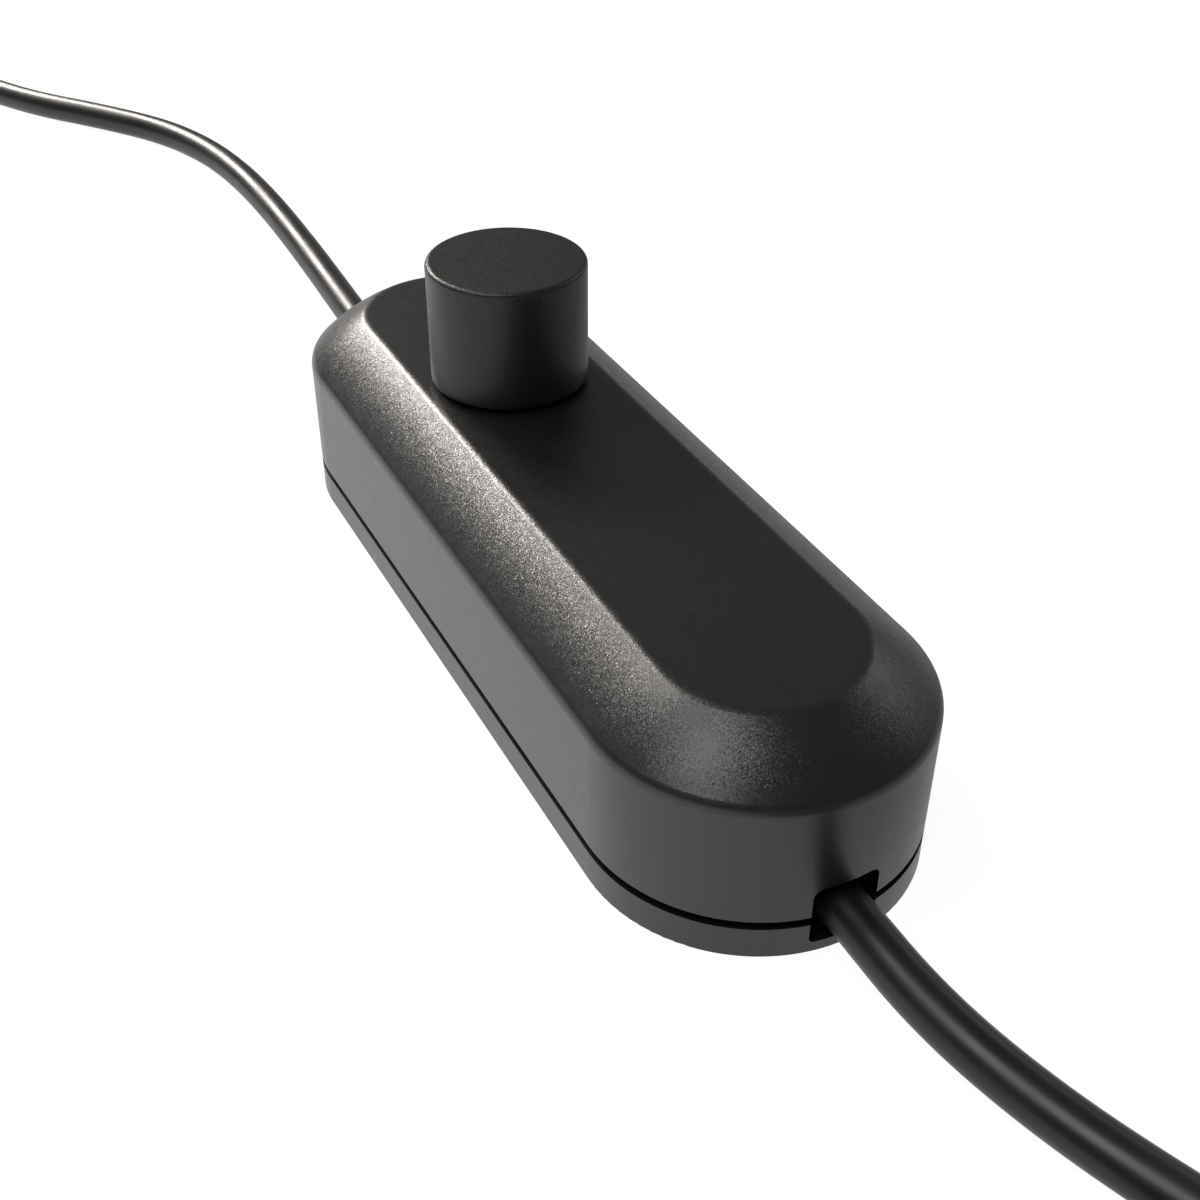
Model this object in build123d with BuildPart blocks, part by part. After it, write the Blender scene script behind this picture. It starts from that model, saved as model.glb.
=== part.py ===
from build123d import *

import os
from math import atan2, pi, radians, tan

# In-line rotary lamp dimmer with a two-core flex at each end, in millimetres.
# +X runs along the housing, away from the knob. The origin is the centre of the flat underside.

os.makedirs("parts", exist_ok=True)

# Housing: two half circles joined by straight sides, in two shells with a shadow gap between them
half_width = 18.0
centre_spacing = 77.3
housing_height = 24.2
slope_bottom = 18.65
top_half_width = 10.7
wall = 1.8
floor_thickness = 2.0
tray_rim = 3.8
shadow_gap = 1.0
shell_bottom = tray_rim + shadow_gap
ceiling = housing_height - wall
slope_crown = 0.35
slope_outer_round = 1.75
slope_inner_round = 1.8
slope_tilt = atan2(housing_height - slope_bottom, half_width - top_half_width)
cavity_half_width = half_width - wall
cavity_slope_bottom = slope_bottom - wall * tan((pi / 2 - slope_tilt) / 2)
cavity_top_half_width = top_half_width - wall * tan(slope_tilt / 2)
tray_edge_round = 0.2

# Tongue of the tray, which stands behind the shadow gap and closes it
tongue_clearance = 0.15
tongue_outer = half_width - wall - tongue_clearance
tongue_inner = tongue_outer - 1.4
tongue_top = 7.0

# Cord windows, one in each end wall, half in the tray and half in the shell
window_width = 7.3
window_bottom = 1.35
window_top = 8.35
window_upper_round = 1.2
window_lower_round = 0.6
window_inner_x = 51.0
housing_end_x = centre_spacing / 2 + half_width

# Screw bosses that pull the shell down onto the posts of the tray
boss_spacing_x = 60.0
boss_spacing_y = 19.0
boss_radius = 3.0
post_radius = 4.3
pilot_radius = 1.45
pilot_depth = 12.0
clearance_hole_radius = 1.65
case_head_radius = 2.8
case_head_height = 1.8
counterbore_radius = 3.1
counterbore_depth = 2.2

# Ribs under the ceiling
rib_positions = (2.0, 12.0, 22.0)
rib_thickness = 1.2
rib_height = 1.3
rib_length = 19.0

# Circuit board
board_bottom = 5.5
board_thickness = 1.6
board_top = board_bottom + board_thickness
board_length = 78.0
board_width = 28.0
board_hole_radius = 3.5
pillar_spacing_x = 24.0
pillar_spacing_y = 23.0
pillar_radius = 2.0

# Knob
knob_x = -18.8
knob_radius = 9.4
knob_bottom = 24.6
knob_top = 39.35
knob_bore_radius = 7.7
knob_cap = 1.5
knob_boss_radius = 5.0
knob_boss_bottom = 28.2
knob_web_bottom = 31.0
knob_web_thickness = 0.9
knob_top_round = 0.55
knob_bottom_round = 0.6

# Control under the knob: a rotary switch below, a potentiometer above, one spindle through both
spindle_radius = 3.0
spindle_clearance = 0.08
spindle_top = 37.3
spindle_bottom = 14.9
flat_depth = 1.5
flat_bottom = 28.6
tail_radius = 1.5
tail_bottom = 12.0
tail_room = 0.2
switch_radius = 8.0
switch_top = 13.0
cup_radius = 8.2
cup_wall = 0.8
cup_inner = cup_radius - cup_wall
cup_plate = 1.0
wafer_thickness = 1.2
wafer_top = switch_top + wafer_thickness
tag_width = 11.0
tag_reach = 9.0
track_inner = 4.2
track_outer = 6.4
track_thickness = 0.15
track_angle = 300.0
bush_radius = 3.5
bush_top = 27.6
bush_flange_radius = 5.2
bush_flange = 0.8
bush_hole_radius = 3.7
washer_radius = 6.0
washer_thickness = 0.5
nut_across_flats = 10.0
nut_height = 2.0
carrier_radius = 6.2
carrier_bottom = 15.4
carrier_height = 2.0
lug_angle = 30.0
lug_outer = cup_inner - 0.3
stop_angle = 28.0
stop_inner = 6.4
stop_direction = 180.0
turn_range = 300.0
lug_direction = stop_direction - (360 - turn_range) / 2

# Flex and its clamps
cord_diameter = 5.0
cord_radius = cord_diameter / 2
cord_height = 4.6
sheath_end_x = 44.0
clamp_x = 47.0
clamp_length = 6.0
clamp_width = 17.4
clamp_bar_bottom = 4.8
clamp_bar_top = 8.3
clamp_screw_y = 6.3
clamp_screw_radius = 1.25
clamp_screw_tip = 1.2
clamp_head_radius = 2.2
clamp_head_height = 1.7

# Cores of the flex, from the end of the sheath to the terminal blocks
core_radius = 1.05
core_pitch = 1.15
conductor_radius = 0.6
terminal_x = 33.5
terminal_length = 8.0
terminal_width = 10.0
terminal_top = 16.6
terminal_pitch = 2.5
entry_height = 10.6
cage_length = 4.0
cage_width = 3.6
cage_height = 4.6
cage_screw_radius = 1.5
cage_screw_top = 15.8

# Heat sink and the semiconductor switch bolted to it
sink_x = -8.0
sink_thickness = 1.2
sink_width = 18.0
sink_top = 21.0
triac_thickness = 2.8
triac_width = 8.0
triac_bottom = 10.1
triac_top = 21.1
triac_hole_height = 18.0
triac_bolt_radius = 1.5

# Choke: a ring core with spaced turns of wire
choke_x = 20.5
choke_y = -0.5
choke_outer = 6.5
choke_inner = 3.7
choke_bottom = 8.0
choke_height = 5.5
choke_wire = 0.9
choke_turns = 14

# Fuse in its clips
fuse_x = 6.0
fuse_y = -11.0
fuse_height = 11.4
fuse_length = 20.0
fuse_glass_radius = 2.3
fuse_cap_radius = 2.6
fuse_cap_length = 5.0
fuse_clip_width = 3.5

# Put-away coils: two turns side by side in two layers, each held by a tie
coil_mean_radius = 25.0
coil_outer = coil_mean_radius + cord_diameter
coil_inner = coil_mean_radius - cord_diameter
coil_height = 2 * cord_diameter
coil_edge_round = 2.4
tie_thickness = 0.5
tie_width = 8.0
input_coil = (-337.0, -10.0)
output_coil = (123.0, -10.0)

# Free routes of the flex, chosen by hand: straight out of the window, down, then along the surface
input_route = [
    (-44.0, 0.0, 4.6), (-57.0, 0.0, 4.6), (-71.0, 0.8, 3.4), (-88.0, 2.0, 2.5),
    (-112.0, 3.0, 2.5), (-134.0, 3.4, 2.5), (-152.0, 2.7, 2.5), (-167.0, 0.4, 2.5),
    (-181.0, -4.6, 2.5), (-195.0, -13.8, 2.5), (-209.5, -25.0, 2.5), (-229.0, -34.6, 2.5),
    (-260.0, -38.0, 2.5), (-298.0, -38.1, 2.5), (-337.0, -37.5, 2.5),
]
input_tail_route = [
    (-337.0, 17.5, 7.5), (-328.0, 17.4, 7.2), (-314.0, 16.8, 2.5), (-302.0, 16.8, 2.5),
]
output_route = [
    (44.0, 0.0, 4.6), (57.0, 0.0, 4.6), (69.0, 0.5, 3.6), (81.0, 3.6, 2.5),
    (94.0, 8.2, 2.5), (108.0, 14.4, 2.5), (123.0, 17.5, 2.5),
]
output_tail_route = [
    (123.0, -37.5, 7.5), (114.0, -37.4, 7.2), (100.0, -36.8, 2.5), (88.0, -36.8, 2.5),
]

# Stripped ends: the two cores come down from the sheath to the surface and spread
end_core_steps = ((0.0, 1.15, 2.5), (3.5, 1.15, 2.5), (8.0, 2.1, 1.05), (11.5, 2.3, 1.05))
end_core_bend = 6.0
ferrule_radius = 0.95
ferrule_length = 4.5


def bend_radii(points):
    """Radius of the arc at each corner: as large as the shorter of its two runs allows."""
    radii = []
    for before, corner, after in zip(points, points[1:], points[2:]):
        run_in = Vector(*corner) - Vector(*before)
        run_out = Vector(*after) - Vector(*corner)
        half_turn = radians(run_in.get_angle(run_out)) / 2
        radii.append(0.45 * min(run_in.length, run_out.length) / tan(half_turn))
    return radii


def report_bends(title, points, length, volume):
    """Prints a flex's length, its bend radii, and its volume over its section times its length."""
    ratio = volume / (pi * cord_radius**2 * length)
    radii = [round(radius) for radius in bend_radii(points)]
    print(f"{title}: {length:.1f} mm, radii {radii}, volume ratio {ratio:.4f}")


def housing_slot(radius):
    """Outline of the housing at a distance of radius from its middle line."""
    SlotCenterToCenter(centre_spacing, 2 * radius)


def shell_section(bottom, side, slope_start, top_side, top, crown):
    """Cross section with upright sides, crowned slopes and a flat top."""
    with BuildLine() as outline:
        base = Line((-side, bottom), (side, bottom))
        upright = Line(base @ 1, (side, slope_start))
        slope = SagittaArc(upright @ 1, (top_side, top), -crown)
        flat = Line(slope @ 1, (-top_side, top))
        far_slope = SagittaArc(flat @ 1, (-side, slope_start), -crown)
        Line(far_slope @ 1, base @ 0)
    make_face(outline.edges())


def outer_section():
    """Outside of the upper shell, with its two soft edges."""
    shell_section(shell_bottom, half_width, slope_bottom, top_half_width, housing_height, slope_crown)
    fillet(vertices().group_by(Axis.Y)[1], slope_outer_round)
    fillet(vertices().group_by(Axis.Y)[-1], slope_inner_round)


def cavity_section():
    """Inside of the upper shell, a wall's thickness behind the outside."""
    shell_section(shell_bottom - 1, cavity_half_width, cavity_slope_bottom, cavity_top_half_width, ceiling, 0.1)


def along_housing(section, mode=Mode.ADD):
    """Runs a cross section along the middle of the housing and half a turn round each end."""
    with BuildSketch(Plane.YZ) as middle:
        section()
    extrude(middle.sketch, amount=centre_spacing / 2, both=True, mode=mode)
    for end in (-1, 1):
        centre = end * centre_spacing / 2
        with BuildSketch(Plane.YZ.offset(centre)) as half:
            section()
            with Locations((half_width, 0)):
                Rectangle(2 * half_width, 4 * housing_height, mode=Mode.INTERSECT)
        turned = Axis((centre, 0, 0), (0, 0, -end))
        revolve(half.sketch, axis=turned, revolution_arc=180, mode=mode)


def knob_plane(height):
    """Level plane at a height, centred on the knob's axis."""
    return Plane(origin=(knob_x, 0, height))


def ring_sector(inner, outer, middle_angle, span):
    """Piece of a flat ring about the origin of the sketch."""
    first = middle_angle - span / 2
    with BuildLine() as outline:
        inner_arc = CenterArc((0, 0), inner, first, span)
        outer_arc = CenterArc((0, 0), outer, first, span)
        Line(inner_arc @ 0, outer_arc @ 0)
        Line(inner_arc @ 1, outer_arc @ 1)
    make_face(outline.edges())


# Cord window, as seen from the end of the housing
with BuildSketch(Plane.YZ) as cord_window:
    with Locations((0, (window_bottom + window_top) / 2)):
        Rectangle(window_width, window_top - window_bottom)
    fillet(cord_window.vertices().group_by(Axis.Y)[-1], window_upper_round)
    fillet(cord_window.vertices().group_by(Axis.Y)[0], window_lower_round)

# Upper shell: straight wall, long crowned slope, flat top
with BuildPart() as upper_shell:
    along_housing(outer_section)
    along_housing(cavity_section, Mode.SUBTRACT)
    with BuildSketch(Plane.XY.offset(shell_bottom)):
        with GridLocations(boss_spacing_x, boss_spacing_y, 2, 2):
            Circle(boss_radius)
    extrude(amount=ceiling + 0.1 - shell_bottom)
    with BuildSketch(Plane.XY.offset(ceiling - rib_height)):
        with Locations(*[(x, 0) for x in rib_positions]):
            Rectangle(rib_thickness, rib_length)
    extrude(amount=rib_height + 0.1)
    with BuildSketch(Plane.XY.offset(shell_bottom)):
        with GridLocations(boss_spacing_x, boss_spacing_y, 2, 2):
            Circle(pilot_radius)
    extrude(amount=pilot_depth, mode=Mode.SUBTRACT)
    with BuildSketch(knob_plane(housing_height)):
        Circle(bush_hole_radius)
    extrude(amount=-2 * wall, mode=Mode.SUBTRACT)
    extrude(cord_window.sketch, amount=housing_end_x + 1, both=True, mode=Mode.SUBTRACT)
upper_shell.part.label = "upper_shell"
export_step(upper_shell.part, "parts/upper_shell.step")

# Base tray: floor, low wall, tongue, posts, board pillars and cord saddles
with BuildPart() as base_tray:
    with BuildSketch():
        housing_slot(half_width)
    extrude(amount=tray_rim)
    fillet(base_tray.faces().sort_by(Axis.Z)[0].edges(), tray_edge_round)
    with BuildSketch(Plane.XY.offset(tray_rim)):
        housing_slot(tongue_outer)
    extrude(amount=tongue_top - tray_rim)
    with BuildSketch(Plane.XY.offset(floor_thickness)):
        housing_slot(tongue_inner)
    extrude(amount=tongue_top - floor_thickness, mode=Mode.SUBTRACT)
    with BuildSketch(Plane.XY.offset(floor_thickness)):
        with GridLocations(boss_spacing_x, boss_spacing_y, 2, 2):
            Circle(post_radius)
    extrude(amount=shell_bottom - floor_thickness)
    with BuildSketch(Plane.XY.offset(floor_thickness)):
        with GridLocations(pillar_spacing_x, pillar_spacing_y, 2, 2):
            Circle(pillar_radius)
    extrude(amount=board_bottom - floor_thickness)
    with BuildSketch(Plane.XY.offset(floor_thickness)):
        with GridLocations(2 * clamp_x, 0, 2, 1):
            Rectangle(clamp_length, clamp_width)
    extrude(amount=cord_height - floor_thickness)
    with BuildSketch(Plane.YZ):
        with Locations((0, cord_height)):
            Circle(cord_radius)
    extrude(amount=housing_end_x, both=True, mode=Mode.SUBTRACT)
    for end in (-1, 1):
        with BuildSketch(Plane.YZ.offset(end * window_inner_x)):
            add(cord_window.sketch_local)
        extrude(amount=end * (housing_end_x + 1 - window_inner_x), mode=Mode.SUBTRACT)
    with BuildSketch(Plane.XY.offset(clamp_screw_tip)):
        with GridLocations(2 * clamp_x, 2 * clamp_screw_y, 2, 2):
            Circle(clamp_screw_radius)
    extrude(amount=cord_height - clamp_screw_tip, mode=Mode.SUBTRACT)
    with Locations(base_tray.faces().sort_by(Axis.Z)[0]):
        with GridLocations(boss_spacing_x, boss_spacing_y, 2, 2):
            CounterBoreHole(clearance_hole_radius, counterbore_radius, counterbore_depth)
base_tray.part.label = "base_tray"
export_step(base_tray.part, "parts/base_tray.step")

# Case screws, driven up from below, with a cross recess in each pan head
with BuildPart() as case_screws:
    with BuildSketch(Plane.XY.offset(counterbore_depth)):
        with GridLocations(boss_spacing_x, boss_spacing_y, 2, 2):
            Circle(case_head_radius)
    extrude(amount=-case_head_height)
    fillet(case_screws.edges().group_by(Axis.Z)[0], 0.6)
    with BuildSketch(Plane.XY.offset(counterbore_depth)):
        with GridLocations(boss_spacing_x, boss_spacing_y, 2, 2):
            Circle(pilot_radius)
    extrude(amount=shell_bottom + pilot_depth - 1.5 - counterbore_depth)
    chamfer(case_screws.edges().group_by(Axis.Z)[-1], 0.7)
    with BuildSketch(Plane.XY.offset(counterbore_depth - case_head_height)):
        with GridLocations(boss_spacing_x, boss_spacing_y, 2, 2):
            Rectangle(3.0, 0.7)
            Rectangle(0.7, 3.0)
    extrude(amount=1.0, mode=Mode.SUBTRACT)
case_screws.part.label = "case_screws"
export_step(case_screws.part, "parts/case_screws.step")

# Circuit board, carried by the pillars, with clearance round the bosses
with BuildPart() as circuit_board:
    with BuildSketch(Plane.XY.offset(board_bottom)) as board_outline:
        Rectangle(board_length, board_width)
        fillet(board_outline.vertices(), 3.0)
        with GridLocations(boss_spacing_x, boss_spacing_y, 2, 2):
            Circle(board_hole_radius, mode=Mode.SUBTRACT)
    extrude(amount=board_thickness)
circuit_board.part.label = "circuit_board"
export_step(circuit_board.part, "parts/circuit_board.step")

# Rotary switch in its closed can, driven by the tail of the spindle
with BuildPart() as switch_can:
    with BuildSketch(knob_plane(board_top)):
        Circle(switch_radius)
    extrude(amount=switch_top - board_top)
    with BuildSketch(knob_plane(tail_bottom - tail_room)):
        Circle(tail_radius + spindle_clearance)
    extrude(amount=switch_top - tail_bottom + tail_room, mode=Mode.SUBTRACT)
switch_can.part.label = "switch_can"
export_step(switch_can.part, "parts/switch_can.step")

# Potentiometer cup, with the end stop inside and a notch for the tags of the wafer
with BuildPart() as pot_cup:
    with BuildSketch(knob_plane(switch_top)):
        Circle(cup_radius)
    extrude(amount=ceiling - switch_top)
    with BuildSketch(knob_plane(switch_top)):
        Circle(cup_inner)
    extrude(amount=ceiling - cup_plate - switch_top, mode=Mode.SUBTRACT)
    with BuildSketch(knob_plane(carrier_bottom)):
        ring_sector(stop_inner, cup_inner + cup_wall / 2, stop_direction, stop_angle)
    extrude(amount=carrier_height)
    with BuildSketch(knob_plane(switch_top)):
        with Locations((cup_radius, 0)):
            Rectangle(cup_radius, tag_width)
    extrude(amount=wafer_thickness, mode=Mode.SUBTRACT)
    with BuildSketch(knob_plane(ceiling - cup_plate)):
        Circle(bush_radius)
    extrude(amount=cup_plate, mode=Mode.SUBTRACT)
pot_cup.part.label = "pot_cup"
export_step(pot_cup.part, "parts/pot_cup.step")

# Wafer that closes the cup, its carbon track and its three pins
with BuildPart() as pot_wafer:
    with BuildSketch(knob_plane(switch_top)):
        Circle(cup_inner)
        with Locations((tag_reach / 2, 0)):
            Rectangle(tag_reach, tag_width)
        Circle(tail_radius + spindle_clearance, mode=Mode.SUBTRACT)
    extrude(amount=wafer_thickness)
pot_wafer.part.label = "pot_wafer"
export_step(pot_wafer.part, "parts/pot_wafer.step")

with BuildPart() as resistance_track:
    with BuildSketch(knob_plane(wafer_top)):
        ring_sector(track_inner, track_outer, 0, track_angle)
    extrude(amount=track_thickness)
resistance_track.part.label = "resistance_track"
export_step(resistance_track.part, "parts/resistance_track.step")

with BuildPart() as pot_pins:
    with BuildSketch(knob_plane(board_top)):
        with Locations((tag_reach - 0.3, 0)):
            with GridLocations(0, tag_width / 2 - 1, 1, 3):
                Rectangle(0.5, 1.1)
    extrude(amount=switch_top - board_top)
pot_pins.part.label = "pot_pins"
export_step(pot_pins.part, "parts/pot_pins.step")

# Bush, its flange under the plate of the cup, drawn up against the shell by a washer and nut
with BuildPart() as pot_bush:
    with BuildSketch(knob_plane(ceiling - cup_plate - bush_flange)):
        Circle(bush_flange_radius)
    extrude(amount=bush_flange)
    with BuildSketch(knob_plane(ceiling - cup_plate)):
        Circle(bush_radius)
    extrude(amount=bush_top - ceiling + cup_plate)
    chamfer(pot_bush.edges().group_by(Axis.Z)[-1], 0.25)
    with BuildSketch(knob_plane(spindle_bottom)):
        Circle(spindle_radius + spindle_clearance)
    extrude(amount=housing_height, mode=Mode.SUBTRACT)
pot_bush.part.label = "pot_bush"
export_step(pot_bush.part, "parts/pot_bush.step")

with BuildPart() as bush_washer:
    with BuildSketch(knob_plane(housing_height)):
        Circle(washer_radius)
        Circle(bush_radius + 0.1, mode=Mode.SUBTRACT)
    extrude(amount=washer_thickness)
bush_washer.part.label = "bush_washer"
export_step(bush_washer.part, "parts/bush_washer.step")

with BuildPart() as bush_nut:
    with BuildSketch(knob_plane(housing_height + washer_thickness)):
        RegularPolygon(nut_across_flats / 2, 6, major_radius=False)
        Circle(bush_radius, mode=Mode.SUBTRACT)
    extrude(amount=nut_height)
bush_nut.part.label = "bush_nut"
export_step(bush_nut.part, "parts/bush_nut.step")

# Spindle: tail in the switch, round journal in the bush, flat under the knob
with BuildPart() as pot_spindle:
    with BuildSketch(knob_plane(tail_bottom)):
        Circle(tail_radius)
    extrude(amount=spindle_bottom - tail_bottom)
    with BuildSketch(knob_plane(spindle_bottom)):
        Circle(spindle_radius)
    extrude(amount=spindle_top - spindle_bottom)
    with BuildSketch(knob_plane(flat_bottom)):
        with Locations((2 * spindle_radius - flat_depth, 0)):
            Rectangle(2 * spindle_radius, 2 * spindle_radius)
    extrude(amount=spindle_top - flat_bottom, mode=Mode.SUBTRACT)
pot_spindle.part.label = "pot_spindle"
export_step(pot_spindle.part, "parts/pot_spindle.step")

# Carrier on the spindle: its lug meets the stop of the cup at both ends of the turn
with BuildPart() as wiper_carrier:
    with BuildSketch(knob_plane(carrier_bottom)):
        Circle(carrier_radius)
        ring_sector(carrier_radius - 1, lug_outer, lug_direction, lug_angle)
        Circle(spindle_radius, mode=Mode.SUBTRACT)
    extrude(amount=carrier_height)
wiper_carrier.part.label = "wiper_carrier"
export_step(wiper_carrier.part, "parts/wiper_carrier.step")

# Wiper: a sprung strip under the carrier that reaches down to just above the track
wiper_span = track_outer - track_inner - 0.8
wiper_turn = track_angle / 2 - 31.0
with BuildPart() as wiper_contact:
    with BuildSketch(Plane(origin=(knob_x + track_inner + 0.4, 0, 0), x_dir=(0, 1, 0), z_dir=(1, 0, 0))):
        with BuildLine():
            Polyline(
                (-2.0, carrier_bottom), (1.6, carrier_bottom), (3.4, wafer_top + track_thickness + 0.3),
                (3.0, wafer_top + track_thickness + 0.1), (1.4, carrier_bottom - 0.25),
                (-2.0, carrier_bottom - 0.25), (-2.0, carrier_bottom),
            )
        make_face()
    extrude(amount=wiper_span)
wiper_contact.part = wiper_contact.part.rotate(Axis((knob_x, 0, 0), (0, 0, 1)), wiper_turn)
wiper_contact.part.label = "wiper_contact"
export_step(wiper_contact.part, "parts/wiper_contact.step")

# Knob: a hollow cap with a boss on the spindle and webs that carry the boss
with BuildPart() as knob:
    with BuildSketch(knob_plane(knob_bottom)):
        Circle(knob_radius)
    extrude(amount=knob_top - knob_bottom)
    fillet(knob.edges().group_by(Axis.Z)[-1], knob_top_round)
    fillet(knob.edges().group_by(Axis.Z)[0], knob_bottom_round)
    with BuildSketch(knob_plane(knob_bottom)):
        Circle(knob_bore_radius)
    extrude(amount=knob_top - knob_cap - knob_bottom, mode=Mode.SUBTRACT)
    with BuildSketch(knob_plane(knob_boss_bottom)):
        Circle(knob_boss_radius)
    extrude(amount=knob_top - knob_cap - knob_boss_bottom)
    with BuildSketch(knob_plane(knob_web_bottom)):
        Rectangle(2 * knob_bore_radius + 0.6, knob_web_thickness)
        Rectangle(knob_web_thickness, 2 * knob_bore_radius + 0.6)
    extrude(amount=knob_top - knob_cap - knob_web_bottom)
    with BuildSketch(knob_plane(knob_boss_bottom)):
        Circle(spindle_radius)
        with Locations((2 * spindle_radius - flat_depth, 0)):
            Rectangle(2 * spindle_radius, 2 * spindle_radius, mode=Mode.SUBTRACT)
    extrude(amount=spindle_top - knob_boss_bottom, mode=Mode.SUBTRACT)
    with BuildSketch(knob_plane(knob_boss_bottom)):
        Circle(spindle_radius)
    extrude(amount=flat_bottom - knob_boss_bottom, mode=Mode.SUBTRACT)
knob.part.label = "knob"
export_step(knob.part, "parts/knob.step")

# Heat sink: an upright plate on two feet
with BuildPart() as heat_sink:
    with BuildSketch(Plane.YZ.offset(sink_x)) as sink_face:
        with Locations((0, (board_top + sink_top) / 2)):
            Rectangle(sink_width, sink_top - board_top)
        fillet(sink_face.vertices().group_by(Axis.Y)[-1], 1.5)
        with Locations((0, board_top)):
            Rectangle(sink_width - 6, 3.0, mode=Mode.SUBTRACT)
        with Locations((0, triac_hole_height)):
            Circle(triac_bolt_radius, mode=Mode.SUBTRACT)
    extrude(amount=sink_thickness)
heat_sink.part.label = "heat_sink"
export_step(heat_sink.part, "parts/heat_sink.step")

triac_x = sink_x + sink_thickness
with BuildPart() as triac_body:
    with BuildSketch(Plane.YZ.offset(triac_x)):
        with Locations((0, (triac_bottom + triac_top) / 2)):
            Rectangle(triac_width, triac_top - triac_bottom)
        with Locations((0, triac_hole_height)):
            Circle(triac_bolt_radius, mode=Mode.SUBTRACT)
    extrude(amount=triac_thickness)
triac_body.part.label = "triac_body"
export_step(triac_body.part, "parts/triac_body.step")

with BuildPart() as triac_leads:
    with BuildSketch(Plane.XY.offset(board_top)):
        with Locations((triac_x + triac_thickness / 2, 0)):
            with GridLocations(0, 2.3, 1, 3):
                Rectangle(0.5, 0.8)
    extrude(amount=triac_bottom - board_top)
triac_leads.part.label = "triac_leads"
export_step(triac_leads.part, "parts/triac_leads.step")

with BuildPart() as triac_screw:
    with BuildSketch(Plane.YZ.offset(triac_x + triac_thickness)):
        with Locations((0, triac_hole_height)):
            Circle(2.7)
    extrude(amount=1.9)
    fillet(triac_screw.edges().group_by(Axis.X)[-1], 0.6)
    with BuildSketch(Plane.YZ.offset(triac_x + triac_thickness)):
        with Locations((0, triac_hole_height)):
            Circle(triac_bolt_radius)
    extrude(amount=-triac_thickness - sink_thickness - 2.6)
triac_screw.part.label = "triac_screw"
export_step(triac_screw.part, "parts/triac_screw.step")

with BuildPart() as triac_nut:
    with BuildSketch(Plane.YZ.offset(sink_x)):
        with Locations((0, triac_hole_height)):
            RegularPolygon(2.75, 6, major_radius=False)
            Circle(triac_bolt_radius, mode=Mode.SUBTRACT)
    extrude(amount=-2.3)
triac_nut.part.label = "triac_nut"
export_step(triac_nut.part, "parts/triac_nut.step")

# Choke: ring core and separate turns round its section
with BuildPart() as choke_core:
    with BuildSketch(Plane(origin=(choke_x, choke_y, choke_bottom))):
        Circle(choke_outer)
        Circle(choke_inner, mode=Mode.SUBTRACT)
    extrude(amount=choke_height)
choke_core.part.label = "choke_core"
export_step(choke_core.part, "parts/choke_core.step")

section_width = choke_outer - choke_inner + 0.12
with BuildPart() as choke_winding:
    for turn in range(choke_turns):
        turn_plane = Plane(
            origin=(choke_x, choke_y, choke_bottom + choke_height / 2),
            x_dir=Vector(1, 0, 0).rotate(Axis.Z, 360 * turn / choke_turns),
            z_dir=Vector(0, 1, 0).rotate(Axis.Z, 360 * turn / choke_turns),
        )
        with BuildSketch(turn_plane):
            with Locations(((choke_outer + choke_inner) / 2, 0)):
                RectangleRounded(section_width + 2 * choke_wire, choke_height + 2 * choke_wire, 0.8)
                Rectangle(section_width, choke_height, mode=Mode.SUBTRACT)
        extrude(amount=choke_wire / 2, both=True)
choke_winding.part.label = "choke_winding"
export_step(choke_winding.part, "parts/choke_winding.step")

# Box capacitors, resistors, trigger diode and their leads
with BuildPart() as suppression_capacitor:
    with BuildSketch(Plane(origin=(7.5, 10.2, board_top))):
        RectangleRounded(13.0, 6.0, 0.4)
    extrude(amount=11.0)
suppression_capacitor.part.label = "suppression_capacitor"
export_step(suppression_capacitor.part, "parts/suppression_capacitor.step")

with BuildPart() as timing_capacitor:
    with BuildSketch(Plane(origin=(5.0, 4.3, board_top))):
        RectangleRounded(7.2, 2.5, 0.4)
    extrude(amount=6.5)
timing_capacitor.part.label = "timing_capacitor"
export_step(timing_capacitor.part, "parts/timing_capacitor.step")

small_part_height = board_top + 1.3
resistor_rows = (-3.4, 1.1)
with BuildPart() as resistors:
    for row in resistor_rows:
        with BuildSketch(Plane(origin=(2.0, row, small_part_height), z_dir=(1, 0, 0))):
            Circle(1.15)
        extrude(amount=6.3)
    fillet(resistors.edges().filter_by(GeomType.CIRCLE), 0.4)
resistors.part.label = "resistors"
export_step(resistors.part, "parts/resistors.step")

with BuildPart() as trigger_diode:
    with BuildSketch(Plane(origin=(3.2, -1.1, small_part_height), z_dir=(1, 0, 0))):
        Circle(0.95)
    extrude(amount=3.9)
trigger_diode.part.label = "trigger_diode"
export_step(trigger_diode.part, "parts/trigger_diode.step")

with BuildPart() as component_leads:
    for row, first, last in ((resistor_rows[0], 2.0, 8.3), (resistor_rows[1], 2.0, 8.3), (-1.1, 3.2, 7.1)):
        for start, step in ((first, -1.6), (last, 1.6)):
            with BuildLine() as lead:
                FilletPolyline(
                    (start, row, small_part_height), (start + step, row, small_part_height),
                    (start + step, row, board_top), radius=0.6,
                )
            with BuildSketch(Plane(origin=lead.line @ 0, z_dir=lead.line % 0)):
                Circle(0.3)
            sweep()
component_leads.part.label = "component_leads"
export_step(component_leads.part, "parts/component_leads.step")

# Fuse: glass tube, wire, end caps and sprung clips
fuse_plane = Plane(origin=(fuse_x, fuse_y, fuse_height), z_dir=(1, 0, 0))
with BuildPart() as fuse_glass:
    with BuildSketch(fuse_plane):
        Circle(fuse_glass_radius)
        Circle(fuse_glass_radius - 0.5, mode=Mode.SUBTRACT)
    extrude(amount=fuse_length / 2 - 0.3, both=True)
fuse_glass.part.label = "fuse_glass"
export_step(fuse_glass.part, "parts/fuse_glass.step")

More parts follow.
